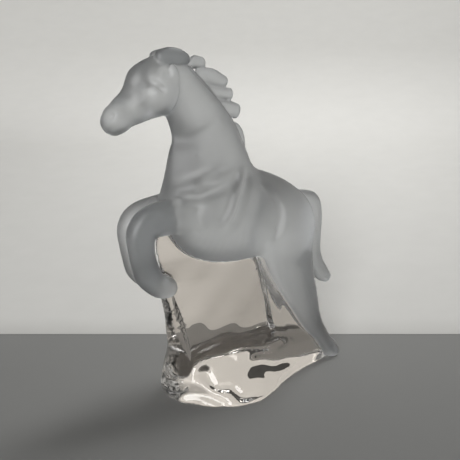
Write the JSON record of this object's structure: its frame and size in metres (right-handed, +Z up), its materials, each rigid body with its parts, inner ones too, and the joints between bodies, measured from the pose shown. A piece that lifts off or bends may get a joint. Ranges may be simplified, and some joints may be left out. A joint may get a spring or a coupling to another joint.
{
  "type": "glass horse figurine",
  "caption": "Pressed glass figurine of a rearing horse, satin on a clear web that runs down from its belly and folded forelegs into a clear rounded base.",
  "frame": {"origin": "on the underside, in the figure's middle plane, below the withers", "axes": "+Z up, the horse faces -X, its left side faces -Y"},
  "size_m": [0.1287, 0.0494, 0.1633],
  "materials": {
    "glass": "satin-etched horse, polished clear web and base"
  },
  "bodies": {
    "root": {"horse_figurine": "glass"}
  },
  "joints": []
}
